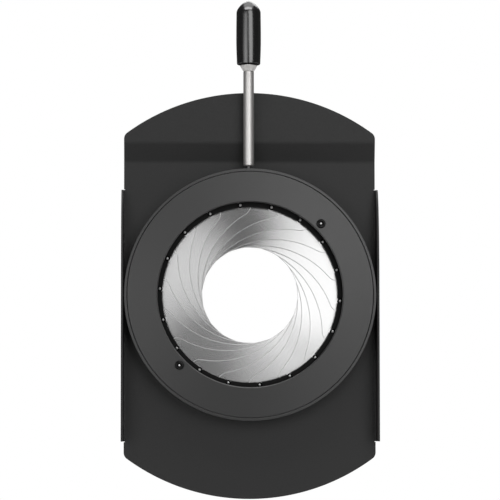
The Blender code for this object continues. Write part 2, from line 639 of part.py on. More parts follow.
def build_handle(parent, chrome, plastic):
    """Rod, ferrule and grip, all turned round the handle's own upright axis."""
    place = (HANDLE_SIDE, 0, HANDLE_HEIGHT)
    tang_end = ROD_END + TANG_LENGTH
    stud_start = BOSS_OUTSIDE - STUD_DEPTH
    bm = turned([
        (0, tang_end), (TANG_RADIUS - ROD_CHAMFER, tang_end), (TANG_RADIUS, tang_end - ROD_CHAMFER),
        (TANG_RADIUS, ROD_END), (ROD_RADIUS, ROD_END), (ROD_RADIUS, ROD_START + ROD_CHAMFER),
        (ROD_RADIUS - ROD_CHAMFER, ROD_START), (STUD_RADIUS, ROD_START), (STUD_RADIUS, stud_start),
        (0, stud_start),
    ], ROUND_STEPS)
    add_object("handle_rod", bm, chrome, parent, place, UPRIGHT)

    foot = ROD_END + SEAT_GAP
    bore = TANG_RADIUS + HOLE_GAP
    bm = turned([(bore, foot + FERRULE_LENGTH), (FERRULE_TOP_RADIUS, foot + FERRULE_LENGTH),
                 (FERRULE_TOP_RADIUS, foot + 0.8 * FERRULE_LENGTH), (ROD_RADIUS, foot), (bore, foot)],
                ROUND_STEPS)
    add_object("grip_ferrule", bm, chrome, parent, place, UPRIGHT)

    base = foot + FERRULE_LENGTH + SEAT_GAP
    shoulder = base + GRIP_LENGTH - GRIP_DOME_HEIGHT
    power = 2 / GRIP_DOME_FULLNESS
    dome = [(GRIP_TOP_RADIUS * math.cos(a) ** power, shoulder + GRIP_DOME_HEIGHT * math.sin(a) ** power)
            for a in [math.pi / 2 * step / 6 for step in range(6, -1, -1)]]
    dome[0] = (0, shoulder + GRIP_DOME_HEIGHT)
    body = []
    for step in range(1, 6):
        along = step / 5
        swell = 1 - (2 * along - 1) ** 2
        width = GRIP_TOP_RADIUS + (GRIP_RADIUS - GRIP_TOP_RADIUS) * swell
        body.append((width, shoulder + (base + GRIP_FOOT_HEIGHT - shoulder) * along))
    hole_end = tang_end + SEAT_GAP
    bm = turned([*dome, *body, (GRIP_FOOT_RADIUS, base), (bore, base), (bore, hole_end), (0, hole_end)],
                ROUND_STEPS + 8)
    add_object("handle_grip", bm, plastic, parent, place, UPRIGHT)


def leaf_with_pins():
    """One leaf with its origin on its pivot pin and its arc centre to the left of it.

    The pivot pin is staked to the rear of one end and the cam pin to the front of the other, so the
    three are one riveted piece.
    """
    bm = curved_strip(PIVOT_CIRCLE, LEAF_HALF_WIDTH, LEAF_ARC, LEAF_STEPS, LEAF_THICKNESS,
                      PIN_RADIUS, {0.0: "disc", -LEAF_ARC: "disc"})
    raise_along(bm, lambda clockwise: LEAF_REAR + leaf_lift(clockwise))
    discs = sorted((face for face in bm.faces if len(face.verts) == PIN_SIDES),
                   key=lambda face: face.calc_center_median().z)
    for face, pin_end in ((discs[0], PIVOT_RING_REAR), (discs[-1], CAM_RING_FRONT)):
        grown = bmesh.ops.extrude_discrete_faces(bm, faces=[face])
        for vert in grown["faces"][0].verts:
            vert.co.z = pin_end
    bmesh.ops.translate(bm, verts=bm.verts[:], vec=(-PIVOT_CIRCLE, 0, 0))
    return bm


def build_leaves(parent, steel):
    shared = None
    for index in range(LEAF_COUNT):
        angle = PIVOT_PHASE + FULL_TURN * index / LEAF_COUNT
        place = ((*polar(PIVOT_CIRCLE, angle), 0), (0, 0, angle - REST_SWING))
        name = f"leaf_{index + 1:02d}"
        if shared:
            place_mesh(name, shared, parent, *place)
        else:
            shared = add_object(name, leaf_with_pins(), steel, parent, *place).data


def main():
    clear_scene()
    front = bpy.data.objects.new("front_frame", None)
    front.rotation_euler = (math.pi / 2, 0, 0)
    bpy.context.scene.collection.objects.link(front)
    cam_axis = place_mesh("cam_axis", None, front)

    plate_steel = make_material("black_powder_coat", "343434", 0.55, 0.0)
    ring_metal = make_material("black_anodised_aluminium", "4A4A4A", 0.45, 0.6)
    leaf_steel = make_material("polished_leaf_steel", "D8D8D8", 0.22, 1.0)
    pin_steel = make_material("bright_pin_steel", "E0E0E0", 0.25, 1.0)
    chrome = make_material("polished_handle_steel", "DADADA", 0.12, 1.0)
    plastic = make_material("gloss_black_plastic", "161616", 0.18, 0.0)
    spring_steel = make_material("spring_steel", "8C8C88", 0.35, 1.0)
    fastener_steel = make_material("black_fastener_steel", "3A3A3A", 0.4, 0.8)

    build_plate(front, plate_steel)
    build_pivot_ring(front, ring_metal)
    build_housing(front, ring_metal)
    build_cover(front, ring_metal)
    build_cover_rivets(front, fastener_steel, pin_steel)
    build_springs(front, spring_steel)
    build_rear_fasteners(front, fastener_steel)
    build_cam_ring(cam_axis, ring_metal)
    build_boss(cam_axis, fastener_steel)
    build_handle(cam_axis, chrome, plastic)
    build_leaves(front, leaf_steel)
    bpy.context.view_layer.update()


main()
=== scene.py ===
"""Fine shapes, finishes and stage of a drop-in iris diaphragm.

Every piece is drawn in a flat frame first: x to the right, y up the handle and z out of the front, all
measured from the lens axis and the front face of the plate. It is then stood up, so that the front
faces -Y as the frame's own pieces do. Lengths are metres.
"""
import json
import math

import bmesh
import bpy
from mathutils import Matrix, Vector

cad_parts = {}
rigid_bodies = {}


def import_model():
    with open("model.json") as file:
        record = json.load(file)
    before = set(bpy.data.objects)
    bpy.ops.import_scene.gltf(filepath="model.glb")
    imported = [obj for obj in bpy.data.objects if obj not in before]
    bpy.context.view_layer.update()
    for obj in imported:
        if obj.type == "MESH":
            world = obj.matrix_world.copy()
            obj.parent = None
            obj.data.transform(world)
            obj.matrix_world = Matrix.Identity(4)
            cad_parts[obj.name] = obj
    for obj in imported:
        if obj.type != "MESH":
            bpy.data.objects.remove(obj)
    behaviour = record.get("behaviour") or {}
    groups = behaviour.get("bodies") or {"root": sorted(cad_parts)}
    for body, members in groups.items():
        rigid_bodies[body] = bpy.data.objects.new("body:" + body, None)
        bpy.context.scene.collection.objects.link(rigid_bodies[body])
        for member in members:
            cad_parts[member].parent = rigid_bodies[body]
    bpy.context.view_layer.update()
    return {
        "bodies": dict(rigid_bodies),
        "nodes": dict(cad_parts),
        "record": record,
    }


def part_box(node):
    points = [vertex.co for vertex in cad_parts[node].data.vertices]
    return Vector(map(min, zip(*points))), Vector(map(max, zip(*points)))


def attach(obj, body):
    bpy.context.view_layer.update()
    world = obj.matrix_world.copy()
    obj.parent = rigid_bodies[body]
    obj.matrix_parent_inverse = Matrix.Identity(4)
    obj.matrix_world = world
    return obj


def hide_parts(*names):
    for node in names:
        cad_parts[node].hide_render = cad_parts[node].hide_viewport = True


bl_info = {
    "name": "Iris diaphragm",
    "version": (1, 0, 0),
    "blender": (4, 5, 0),
    "location": "3D View > Sidebar > Iris",
    "description": "Builds the visible pieces, the finishes and the stage of a drop-in iris diaphragm",
    "category": "Object",
}

FULL_TURN = 2 * math.pi
STAND_UP = Matrix.Rotation(math.pi / 2, 3, "X")
SHARP_ANGLE = math.radians(34)  # an edge sharper than this is eased or shaded as an edge
MERGE = 1e-7  # vertices closer than this become one
WIDE_MERGE = 1e-6  # the same where a mirror image or a copy meets its neighbour
TOOL_REACH = 0.001  # how far a cutting tool stands out of what it cuts
HOLE_GAP = 0.00015  # gap round the stud and the rod's end in their holes
END_GAP = 0.0002  # gap at the rod's shoulder and at its end
CAM_OVERHANG = 0.0006  # how far the slotted ring reaches inside the fully open leaves
STREAK_STRETCH = 60  # how many times longer a polishing streak is than it is wide
STREAK_DEPTH = 0.00000025  # depth of the polishing streaks
COLLAR_HEIGHT = 0.00008  # how far a collar stands out of its leaf
# Domed end of a leaf's pin, as shares of its radius with their depths below its tip
PIN_END = ((1.0, 0.00022), (0.8, 0.00008), (0.4, 0.0))
CONE_BAND = 0.00045  # height of the straight band at the top of the cone
RIVET_HOLE = 0.00165  # radius of the cover's holes for its rivets
SCREW_SHANK = 0.00075  # radius of the screws and rivets behind the plate, below their heads
HEAD_SEAT = -0.0012  # height at which their heads end, clear of the plate's rear
FLOOR_HALF = 2.0  # half the width of the floor
FLOOR_BACK = 1.7  # how far behind the part the floor's middle lies
FLOOR_GLOW = 0.8  # glow that makes the floor white to the camera
FLOOR_MIRRORED = 0.45  # share of that glow in what mirrors the floor

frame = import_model()
JOINTS = {joint["name"]: joint for joint in frame["record"]["behaviour"]["joints"]}
LEAVES = sorted(name for name in frame["bodies"] if name.startswith("leaf_"))


def outer_radius(node):
    """Half the width of a node that is centred on the lens axis."""
    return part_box(node)[1].x


def rear_height(node):
    """Height of a node's rear, in the flat frame."""
    return -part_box(node)[1].y


def front_height(node):
    """Height of a node's front, in the flat frame."""
    return -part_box(node)[0].y


def centre_of(node):
    """Middle of a node across the lens axis, in the flat frame."""
    low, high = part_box(node)
    return (low.x + high.x) / 2, (low.z + high.z) / 2


def handle_height():
    """Height of the handle's axis, in the flat frame: the middle of its boss."""
    return (rear_height("handle_boss") + front_height("handle_boss")) / 2


def linear(code):
    """Linear colour with alpha from an sRGB hex code."""
    channels = [int(code[at:at + 2], 16) / 255 for at in (0, 2, 4)]
    return (*[c / 12.92 if c <= 0.04045 else ((c + 0.055) / 1.055) ** 2.4 for c in channels], 1.0)


def length(name, default, description):
    return bpy.props.FloatProperty(name=name, default=default, description=description, min=0.0,
                                   precision=5, unit="LENGTH")


def share(name, default, description, top=1.0):
    return bpy.props.FloatProperty(name=name, default=default, description=description, min=0.0, max=top)


def angle(name, default, description):
    return bpy.props.FloatProperty(name=name, default=math.radians(default), description=description,
                                   subtype="ANGLE")


def count(name, default, description):
    return bpy.props.IntProperty(name=name, default=default, description=description, min=3)


def colour(name, code, description):
    return bpy.props.FloatVectorProperty(name=name, default=linear(code), description=description,
                                         size=4, min=0.0, max=1.0, subtype="COLOR")


class IrisPlate(bpy.types.PropertyGroup):
    thickness: length("Thickness", 0.0010, "Thickness of the sheet")
    end_radius: length("End radius", 0.0940, "Radius of the rounded top and bottom edges")
    corner_radius: length("Corner radius", 0.0035, "Radius where an end meets a side")
    opening: length("Opening", 0.0410, "Radius of the round opening")
    bend_radius: length("Bend radius", 0.0004, "Inside radius of the folded sides")
    side_gap: length("Side gap", 0.00015, "Step from a fold's inner face to the bare edge of the sheet")
    relief_width: length("Relief width", 0.0003, "Width of the notch at each end of a fold")
    relief_depth: length("Relief depth", 0.0005, "Depth of the notch at each end of a fold")
    fold_top: length("Fold top", 0.04788, "Height of a folded side's upper end above the lens axis")
    fold_bottom: length("Fold bottom", 0.06598, "Depth of a folded side's lower end below the axis")
    fold_end: length("Fold end", 0.0016, "Height that a folded side keeps at its upper end")
    fold_curve: length("Fold curve", 0.0409, "Length of the curve that a folded side ends in")
    step_low: length("Step foot", 0.06065, "Height at which the upper margin starts to step forward")
    step_width: length("Step width", 0.0087, "Width of the slope of the step")
    step_depth: length("Step depth", 0.0025, "How far the upper margin stands forward")
    step_bend: length("Step bend", 0.0009, "Half the width of each bend of the step")
    eased_edge: length("Eased edge", 0.00014, "Rounding of the coated edges")
    grain: length("Grain", 0.0009, "Size of the dimples in the coating, coarse enough to show")
    coat: colour("Coating", "1B1B1B", "Colour of the powder coating")


class IrisRings(bpy.types.PropertyGroup):
    steps: count("Steps", 240, "Facets round a ring")
    ledge: length("Ledge", 0.0016, "Width of the ledge under the edge of the slotted ring")
    lip: length("Lip", 0.0016, "Width of the seat of the cover")
    rim: length("Rim", 0.0012, "Width of the rim outside the cover")
    seat_gap: length("Seat gap", 0.0002, "Gap between pieces that lie on each other")
    running_gap: length("Running gap", 0.0003, "Gap between pieces that move on each other")
    cover_step: length("Cover step", 0.0020, "How far the slotted ring shows inside the cover")
    cover_bevel: length("Cover bevel", 0.0004, "How much wider the cover's opening is at its front")
    cover_edge: length("Cover edge", 0.00022, "Rounding of the cover's edges")
    rim_edge: length("Rim edge", 0.00015, "Rounding of the rim's edges")
    slot_mouth: length("Slot mouth", 0.00094, "Half the width of a slot at the bore")
    slot_width: length("Slot width", 0.00206, "Half the width of a slot where its pin runs furthest out")
    slot_reach: length("Slot reach", 0.04595, "Radius where a slot is widest")
    slot_end: length("Slot end", 0.04685, "Radius where a slot ends")
    slot_phase: angle("Slot phase", 16.3476, "Place of the first slot")
    slot_edge: length("Slot edge", 0.00012, "Rounding of the slotted ring's edges")
    lean: angle("Lean", 7.0, "How far the face of a ring leans outwards")
    metal: colour("Metal", "4A4A4A", "Colour of the black anodised metal")
    # Near black: dark anodising, darkened further as painted shade for the recess behind the cover
    bore: colour("Slotted ring", "060606", "Colour of the slotted ring")


class IrisLeaves(bpy.types.PropertyGroup):
    half_width: length("Half width", 0.0048, "Half the width of a leaf")
    arc: angle("Arc", 143.0, "Angle between the two pins of a leaf")
    thickness: length("Thickness", 0.00012, "Thickness of a leaf")
    pitch: length("Pitch", 0.00018, "Height from one leaf to the next")
    swing: angle("Swing", 24.0, "How far a leaf has turned at rest from where the hole is fully open")
    largest_swing: angle("Largest swing", 38.9, "The same where the hole is smallest")
    rear: length("Rear", 0.00155, "Height of the lowest point of a leaf")
    steps: count("Steps", 110, "Facets along a leaf")
    edge: length("Edge", 0.00022, "Width of the tumbled edge of a leaf")
    pin_radius: length("Pin radius", 0.0006, "Radius of the pins")
    # Near-black collars: painted shade in the slots of the slotted ring
    collar: length("Collar", 0.0013, "Radius of the black collar under a cam pin's slot")
    lean: angle("Lean", 6.0, "How far a leaf's face leans outwards")
    streak: length("Streak", 0.0003, "Width of the polishing streaks, coarse enough to show")
    steel: colour("Steel", "CACACA", "Colour of the leaf steel")
    # A little darker than the steel: painted shade along the edge where one leaf lies on the next
    rim: colour("Edge steel", "C6C6C6", "Colour of a leaf's tumbled edge")


class IrisHandle(bpy.types.PropertyGroup):
    rod_radius: length("Rod radius", 0.00238, "Radius of the rod")
    standoff: length("Standoff", 0.0013, "Gap between the housing and the foot of the rod")
    tang_radius: length("Tang radius", 0.0019, "Radius of the rod's end inside the grip")
    tang: length("Tang", 0.0165, "Length of the rod's end inside the grip")
    rod_chamfer: length("Rod chamfer", 0.0004, "Chamfer at the foot of the rod")
    stud_radius: length("Stud radius", 0.0012, "Radius of the stud in the boss")
    cone_reach: length("Cone reach", 0.0006, "How much further down the rod the drawn cone reaches")
    flare: length("Flare", 0.00145, "How much the cone widens")
    grip_radius: length("Grip radius", 0.00559, "Largest radius of the grip")
    grip_swell: length("Grip swell", 0.00012, "How much thinner the grip is at its shoulder")
    grip_taper: length("Grip taper", 0.0003, "How much thinner the grip is above its foot")
    grip_foot: length("Grip foot", 0.0006, "Height of the rounded foot of the grip")
    foot_edge: length("Foot edge", 0.0005, "How much thinner the grip gets over its rounded foot")
    eased_edge: length("Eased edge", 0.0001, "Rounding of the edges of the rod and the cone")
    dome: length("Dome", 0.0054, "Height of the grip's dome")
    dome_fullness: bpy.props.FloatProperty(name="Dome fullness", default=1.5, min=1.0, max=2.0,
                                           description="1 makes the dome a cone and 2 a round cap")
    steps: count("Steps", 96, "Facets round the handle")
    steel: colour("Rod steel", "E8E6E4", "Colour of the plated rod")
    grip: colour("Grip", "101010", "Colour of the grip")


class IrisStage(bpy.types.PropertyGroup):
    distance: length("Camera distance", 1.3, "Distance from the camera to the plate")
    yaw: angle("Yaw", -1.56, "Angle of the camera to the right of the lens axis")
    pitch: angle("Pitch", -3.5, "Angle of the camera above the lens axis")
    roll: angle("Roll", -0.05, "Turn of the camera about its own axis")
    width: length("View width", 0.22682, "Width of the view at the plate")
    aim_side: length("Aim side", 0.00018, "How far right of the lens axis the view is centred")
    aim_up: bpy.props.FloatProperty(name="Aim height", default=0.02064, unit="LENGTH",
                                    description="How far above the lens axis the view is centred")
    floor_drop: length("Floor drop", 0.30, "How far the floor lies below the lens axis")
    right_level: share("Right panel", 2.4, "Level of the soft panel to the upper right of the camera",
                       top=20.0)
    low_level: share("Low panel", 1.2, "Level of the soft panel to the lower right of the camera",
                     top=20.0)
    left_level: share("Left panel", 1.7, "Level of the soft panel to the left of the camera", top=20.0)
    top_level: share("Top panel", 4.2, "Level of the soft panel above the part", top=20.0)
    rear_level: share("Rear panel", 2.0, "Level of the soft panel behind and above the part", top=20.0)
    room: share("Room light", 0.06, "Level of the light that comes from all round", top=2.0)


def add_node(tree, kind, settings=None, links=None, **values):
    """Add a node, with its settings, its input values and the outputs that feed it."""
    node = tree.nodes.new(kind)
    for name, value in (settings or {}).items():
        setattr(node, name, value)
    for name, value in values.items():
        node.inputs[name].default_value = value
    for name, source in (links or {}).items():
        tree.links.new(source, node.inputs[name])
    return node


def new_material(name, base, roughness, metallic=0.0, **values):
    """A Principled material with its constant values; gives the material, its tree and its shader."""
    made = bpy.data.materials.new(name)
    made.use_nodes = True
    shader = made.node_tree.nodes["Principled BSDF"]
    shader.inputs["Base Color"].default_value = base
    shader.inputs["Roughness"].default_value = roughness
    shader.inputs["Metallic"].default_value = metallic
    for socket, value in values.items():
        shader.inputs[socket.replace("_", " ")].default_value = value
    made.diffuse_color = base
    return made, made.node_tree, shader


def vary(tree, source, low, high):
    """Spread a pattern's middle range between two values."""
    return add_node(tree, "ShaderNodeMapRange", links={"Value": source}, **{
        "From Min": 0.3, "From Max": 0.7, "To Min": low, "To Max": high}).outputs["Result"]


def grain_bump(tree, shader, size, depth, strength, detail=2.0):
    """Fine dimples of one real size, and the pattern itself."""
    place = add_node(tree, "ShaderNodeTexCoord").outputs["Object"]
    noise = add_node(tree, "ShaderNodeTexNoise", links={"Vector": place}, Scale=1 / size, Detail=detail,
                     Roughness=0.55)
    bump = add_node(tree, "ShaderNodeBump", links={"Height": noise.outputs["Fac"]}, Strength=strength,
                    Distance=depth)
    tree.links.new(bump.outputs["Normal"], shader.inputs["Normal"])
    return place, noise.outputs["Fac"]


def powder_coating(props):
    """Satin polyester powder, sprayed and baked: an even dark grey with faint dimples and soft shine."""
    made, tree, shader = new_material("satin_powder_coated_steel", props.coat, 0.5, IOR=1.5,
                                      Specular_IOR_Level=0.46)
    pattern = grain_bump(tree, shader, props.grain, 0.00003, 0.35)[1]
    tree.links.new(vary(tree, pattern, 0.46, 0.56), shader.inputs["Roughness"])
    return made


def anodised_metal(name, base, roughness, lean=0.0):
    """Black anodised aluminium, blasted first: a soft metallic sheen that shifts with the light.

    The lean is that of a slightly dished ring, so that its shine differs from side to side.
    """
    made, tree, shader = new_material(name, base, roughness, 0.7, IOR=1.5)
    place, pattern = grain_bump(tree, shader, 0.0006, 0.00001, 0.25)
    tree.links.new(vary(tree, pattern, roughness - 0.03, roughness + 0.04), shader.inputs["Roughness"])
    if lean:
        flat = add_node(tree, "ShaderNodeVectorMath", {"operation": "MULTIPLY"}, {0: place})
        flat.inputs[1].default_value = (1, 0, 1)
        far = add_node(tree, "ShaderNodeVectorMath", {"operation": "LENGTH"},
                       {0: flat.outputs["Vector"]})
        fall = add_node(tree, "ShaderNodeMath", {"operation": "MULTIPLY"}, {0: far.outputs["Value"]})
        fall.inputs[1].default_value = -math.tan(lean)
        dish = add_node(tree, "ShaderNodeBump", links={"Height": fall.outputs["Value"]}, Strength=1.0,
                        Distance=1.0)
        grain = shader.inputs["Normal"].links[0].from_node
        tree.links.new(dish.outputs["Normal"], grain.inputs["Normal"])
    return made


def leaf_steel(props):
    """Cold rolled stainless strip, polished along its length: a bright sheen drawn out across it.

    The lean is that of strips that lie on each other, so that each one's shine differs along its arc.
    """
    made, tree, shader = new_material("polished_stainless_strip", props.steel, 0.27, 1.0,
                                      Anisotropic=0.82, Anisotropic_Rotation=0.25)
    along = add_node(tree, "ShaderNodeUVMap", {"uv_map": "strip"}).outputs["UV"]
    tangent = add_node(tree, "ShaderNodeTangent", {"direction_type": "UV_MAP", "uv_map": "strip"})
    tree.links.new(tangent.outputs["Tangent"], shader.inputs["Tangent"])
    scaled = add_node(tree, "ShaderNodeMapping", links={"Vector": along},
                      Scale=(1 / (STREAK_STRETCH * props.streak), 1 / props.streak, 1.0))
    noise = add_node(tree, "ShaderNodeTexNoise", links={"Vector": scaled.outputs["Vector"]}, Scale=1.0,
                     Detail=2.0, Roughness=0.5)
    tree.links.new(vary(tree, noise.outputs["Fac"], 0.268, 0.272), shader.inputs["Roughness"])
    across = add_node(tree, "ShaderNodeSeparateXYZ", links={"Vector": along}).outputs["Y"]
    streaks = add_node(tree, "ShaderNodeMath", {"operation": "MULTIPLY"}, {0: noise.outputs["Fac"]})
    streaks.inputs[1].default_value = STREAK_DEPTH
    face = add_node(tree, "ShaderNodeMath", {"operation": "MULTIPLY_ADD"}, {
        0: across, 2: streaks.outputs["Value"]})
    face.inputs[1].default_value = -math.tan(props.lean)
    bump = add_node(tree, "ShaderNodeBump", links={"Height": face.outputs["Value"]}, Strength=1.0,
                    Distance=1.0)
    tree.links.new(bump.outputs["Normal"], shader.inputs["Normal"])
    return made


def plain_metal(name, base, roughness, size):
    """Drawn or turned metal with faint tool marks, so that its shine isn't perfectly even."""
    made, tree, shader = new_material(name, base, roughness, 1.0)
    pattern = grain_bump(tree, shader, size, 0.000005, 0.2)[1]
    tree.links.new(vary(tree, pattern, roughness * 0.9, roughness * 1.15), shader.inputs["Roughness"])
    return made


def dipped_vinyl(props):
    """Vinyl dipped to a thick gloss: nearly black, with a bright stripe where it mirrors each lamp."""
    made, tree, shader = new_material("gloss_black_vinyl", props.grip, 0.2, IOR=1.6, Coat_Weight=1.0,
                                      Coat_Roughness=0.22, Coat_IOR=1.7)
    grain_bump(tree, shader, 0.0035, 0.00003, 0.25, 1.0)
    return made


def cut_vinyl(props):
    """The trimmed end of the dipped vinyl, matt and nearly black where the blade went round."""
    return new_material("trimmed_black_vinyl", props.grip, 0.8, IOR=1.5, Specular_IOR_Level=0.15)[0]


def line_to(bm, start, x, y, z=0.0):
    """A straight edge from a vertex to a new place."""
    end = bm.verts.new((x, y, z))
    bm.edges.new((start, end))
    return end


def arc_to(bm, start, centre, turn, steps):
    """An arc from a vertex round a centre, counterclockwise for a positive turn."""
    made = bmesh.ops.spin(bm, geom=[start], cent=(*centre, 0), axis=(0, 0, 1), angle=turn, steps=steps,
                          use_duplicate=False)
    return made["geom_last"][0]


def chain(bm, points):
    """A run of edges through a few places; gives its vertices and its edges."""
    verts = [bm.verts.new(point) for point in points]
    return verts, [bm.edges.new(pair) for pair in zip(verts, verts[1:])]


def lathe(profile, steps, centre=(0.0, 0.0), bm=None):
    """Spin a profile of (radius, height) places round an axis along z.

    A profile that ends on the axis gives a bar, and any other is closed to a ring.
    """
    bm = bm or bmesh.new()
    verts, edges = chain(bm, [(centre[0] + radius, centre[1], height) for radius, height in profile])
    if profile[0][0] > 0:
        edges.append(bm.edges.new((verts[-1], verts[0])))
    bmesh.ops.spin(bm, geom=verts + edges, cent=(*centre, 0), axis=(0, 0, 1), angle=FULL_TURN,
                   steps=steps, use_merge=True, use_duplicate=False)
    bmesh.ops.remove_doubles(bm, verts=bm.verts[:], dist=MERGE)
    return bm


def bar(radius, low, high, steps, centre=(0.0, 0.0), bm=None):
    """A plain bar between two heights."""
    return lathe([(0, low), (radius, low), (radius, high), (0, high)], steps, centre, bm)


def thicken(bm, depth):
    """Extrude flat faces into a closed solid."""
    grown = bmesh.ops.extrude_face_region(bm, geom=bm.faces[:])
    moved = [item for item in grown["geom"] if isinstance(item, bmesh.types.BMVert)]
    bmesh.ops.translate(bm, verts=moved, vec=depth)


def move(bm, offset, verts=None):
    """Shift a shape, or some of its vertices."""
    bmesh.ops.translate(bm, verts=verts or bm.verts[:], vec=offset)


def turn(bm, amount, axis="Z", verts=None):
    """Turn a shape, or some of its vertices, about the origin."""
    bmesh.ops.rotate(bm, verts=verts or bm.verts[:], cent=(0, 0, 0),
                     matrix=Matrix.Rotation(amount, 3, axis))


def carve(shape, tool, operation="DIFFERENCE"):
    """The shape after the tool is cut from it or joined to it. Both are used up."""
    holders = []
    for bm in (shape, tool):
        bmesh.ops.recalc_face_normals(bm, faces=bm.faces[:])
        mesh = bpy.data.meshes.new("carve")
        bm.to_mesh(mesh)
        bm.free()
        holders.append(bpy.data.objects.new("carve", mesh))
        bpy.context.scene.collection.objects.link(holders[-1])
    change = holders[0].modifiers.new("carve", "BOOLEAN")
    change.operation = operation
    change.solver = "EXACT"
    change.object = holders[1]
    carved = bmesh.new()
    carved.from_object(holders[0], bpy.context.evaluated_depsgraph_get())
    for holder in holders:
        mesh = holder.data
        bpy.data.objects.remove(holder)
        bpy.data.meshes.remove(mesh)
    return carved


def finish_faces(faces, index):
    """Give faces another of their piece's finishes."""
    for face in faces:
        face.material_index = index


def cut_line(bm, place, way):
    """Cut every face along a plane through a place, and keep both sides."""
    every = bm.verts[:] + bm.edges[:] + bm.faces[:]
    bmesh.ops.bisect_plane(bm, geom=every, dist=1e-8, plane_co=place, plane_no=way)


def add_piece(name, bm, materials, body, nodes=(), edge=0.0, segments=3):
    """Stand a shape up, make it an object that rides on a body, and ease its edges."""
    bmesh.ops.recalc_face_normals(bm, faces=bm.faces[:])
    bmesh.ops.rotate(bm, verts=bm.verts[:], cent=(0, 0, 0), matrix=STAND_UP)
    mesh = bpy.data.meshes.new(name)
    bm.to_mesh(mesh)
    bm.free()
    for material in materials:
        mesh.materials.append(material)
    mesh.shade_smooth()
    made = bpy.data.objects.new(name, mesh)
    bpy.context.scene.collection.objects.link(made)
    if edge:
        ease = made.modifiers.new("eased edges", "BEVEL")
        ease.width = edge
        ease.segments = segments
        ease.limit_method = "ANGLE"
        ease.angle_limit = SHARP_ANGLE
        ease.use_clamp_overlap = False
        made.modifiers.new("flat faces", "WEIGHTED_NORMAL")
    else:
        mesh.set_sharp_from_angle(angle=SHARP_ANGLE)
    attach(made, body)
    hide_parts(*nodes)
    return made


def dress(node, material):
    """Give a kept piece of the frame its finish."""
    slots = frame["nodes"][node].material_slots
    for slot in slots:
        slot.link = "OBJECT"
        slot.material = material


def plate_sheet(props):
    """Flat sheet of the plate with its rounded ends and the notches beside the folds.

    Its right half is drawn from the top down to the bottom, and then mirrored.
    """
    width = outer_radius("mounting_plate") - props.thickness - props.side_gap
    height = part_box("mounting_plate")[1].z
    root = width + props.side_gap - props.bend_radius
    end_centre = height - props.end_radius
    corner_x = width - props.corner_radius
    reach = props.end_radius - props.corner_radius
    corner_y = end_centre + math.sqrt(reach ** 2 - corner_x ** 2)
    lean = math.atan2(corner_y - end_centre, corner_x)
    notch = props.relief_width / 2
    inner = width - props.relief_depth + notch
    end_steps, corner_steps, notch_steps = 72, 16, 8

    bm = bmesh.new()
    at = arc_to(bm, bm.verts.new((0, height, 0)), (0, end_centre), lean - math.pi / 2, end_steps)
    at = arc_to(bm, at, (corner_x, corner_y), -lean, corner_steps)
    at = line_to(bm, at, width, props.fold_top + props.relief_width)
    at = line_to(bm, at, inner, props.fold_top + props.relief_width)
    at = arc_to(bm, at, (inner, props.fold_top + notch), math.pi, notch_steps)
    at = line_to(bm, at, root, props.fold_top)
    at = line_to(bm, at, root, -props.fold_bottom)
    at = line_to(bm, at, inner, -props.fold_bottom)
    at = arc_to(bm, at, (inner, -props.fold_bottom - notch), math.pi, notch_steps)
    at = line_to(bm, at, width, -props.fold_bottom - props.relief_width)
    at = line_to(bm, at, width, -corner_y)
    at = arc_to(bm, at, (corner_x, -corner_y), -lean, corner_steps)
    arc_to(bm, at, (0, -end_centre), lean - math.pi / 2, end_steps)
    bmesh.ops.mirror(bm, geom=bm.verts[:] + bm.edges[:], axis="X", merge_dist=WIDE_MERGE)
    bmesh.ops.remove_doubles(bm, verts=bm.verts[:], dist=MERGE)
    bmesh.ops.contextual_create(bm, geom=bm.edges[:])
    thicken(bm, (0, 0, -props.thickness))
    return bm


def folded_side(props, side):
    """One folded side: an L section drawn along the plate, its free edge curved down at the top."""
    inner = outer_radius("mounting_plate") - props.thickness
    bend = (inner - props.bend_radius, props.bend_radius)
    lap = inner - props.relief_depth
    tall = front_height("mounting_plate")
    inner_steps, outer_steps = 6, 8
    bm = bmesh.new()
    at = line_to(bm, bm.verts.new((lap, 0, 0)), bend[0], 0)
    at = arc_to(bm, at, bend, math.pi / 2, inner_steps)
    at = line_to(bm, at, inner, tall)
    at = line_to(bm, at, inner + props.thickness, tall)
    at = line_to(bm, at, inner + props.thickness, bend[1])
    at = arc_to(bm, at, bend, -math.pi / 2, outer_steps)
    line_to(bm, at, lap, -props.thickness)
    bmesh.ops.holes_fill(bm, edges=bm.edges[:])
    bmesh.ops.contextual_create(bm, geom=bm.edges[:] + bm.verts[:])
    turn(bm, math.pi / 2, "X")
    move(bm, (0, -props.fold_bottom, 0))
    thicken(bm, (0, props.fold_top + props.fold_bottom, 0))
    start, cuts = props.fold_top - props.fold_curve, 33
    for step in range(cuts):
        along = math.sin(math.pi / 2 * step / cuts)
        cut_line(bm, (0, start + props.fold_curve * along, 0), (0, 1, 0))
    for vert in bm.verts:
        if vert.co.z > 2 * bend[1] and vert.co.y > start:
            along = min(1.0, (vert.co.y - start) / props.fold_curve)
            vert.co.z = props.fold_end + (tall - props.fold_end) * math.sqrt(1 - along ** 2)
    if side < 0:
        bmesh.ops.scale(bm, verts=bm.verts[:], vec=(-1, 1, 1))
    return bm


def step_forward(bm, props):
    """Bend the upper margin forward in a step with rounded bends."""
    folds = (props.step_low, props.step_low + props.step_width)
    cuts = 3
    for fold in folds:
        for part in range(-cuts, cuts + 1):
            cut_line(bm, (0, fold + props.step_bend * part / cuts, 0), (0, 1, 0))

    def ramp(y, fold):
        """Slope that eases in over the bend: the area under it is the height gained."""
        reach = min(1.0, max(-1.0, (y - fold) / props.step_bend))
        eased = props.step_bend * (reach + 1) ** 2 / 4
        return eased + max(0.0, y - fold - props.step_bend)

    for vert in bm.verts:
        gained = ramp(vert.co.y, folds[0]) - ramp(vert.co.y, folds[1])
        vert.co.z += props.step_depth * gained / props.step_width


